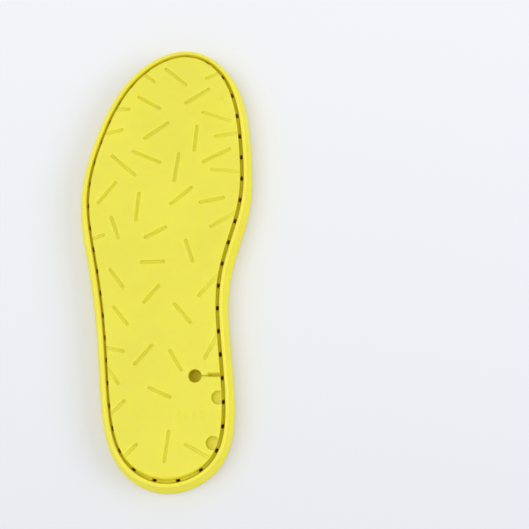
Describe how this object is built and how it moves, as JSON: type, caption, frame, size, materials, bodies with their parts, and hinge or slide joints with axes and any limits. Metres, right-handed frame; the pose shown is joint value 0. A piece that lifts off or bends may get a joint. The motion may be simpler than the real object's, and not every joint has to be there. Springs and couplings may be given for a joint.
{
  "type": "rubber garden clog sole unit",
  "caption": "Yellow rubber clog sole unit, tread up: flared rim cup, stitching channel with holes, grooved tread plate with knot pocket, cushioned footbed.",
  "frame": {"origin": "under the middle of the sole, on the plane that its foot side rests on while it lies with the tread up", "axes": "+Z out of the tread, +Y to the toe, +X to the arch side of this right-foot sole"},
  "size_m": [0.0986, 0.2542, 0.016],
  "materials": {
    "rim_rubber": "satin moulded",
    "tread_rubber": "satin moulded",
    "filler_foam": "closed-cell foam",
    "cushion_gel": "soft moulded",
    "shank_steel": "rolled strip",
    "board": "pressed fibre",
    "footbed_foam": "open-cell foam",
    "footbed_fabric": "knitted lining"
  },
  "bodies": {
    "root": {"rim_cup": "rim_rubber", "tread_plate": "tread_rubber", "forefoot_filler": "filler_foam", "heel_cushion": "cushion_gel", "shank": "shank_steel", "insole_board": "board", "footbed_foam": "footbed_foam", "footbed_cover": "footbed_fabric"}
  },
  "joints": []
}
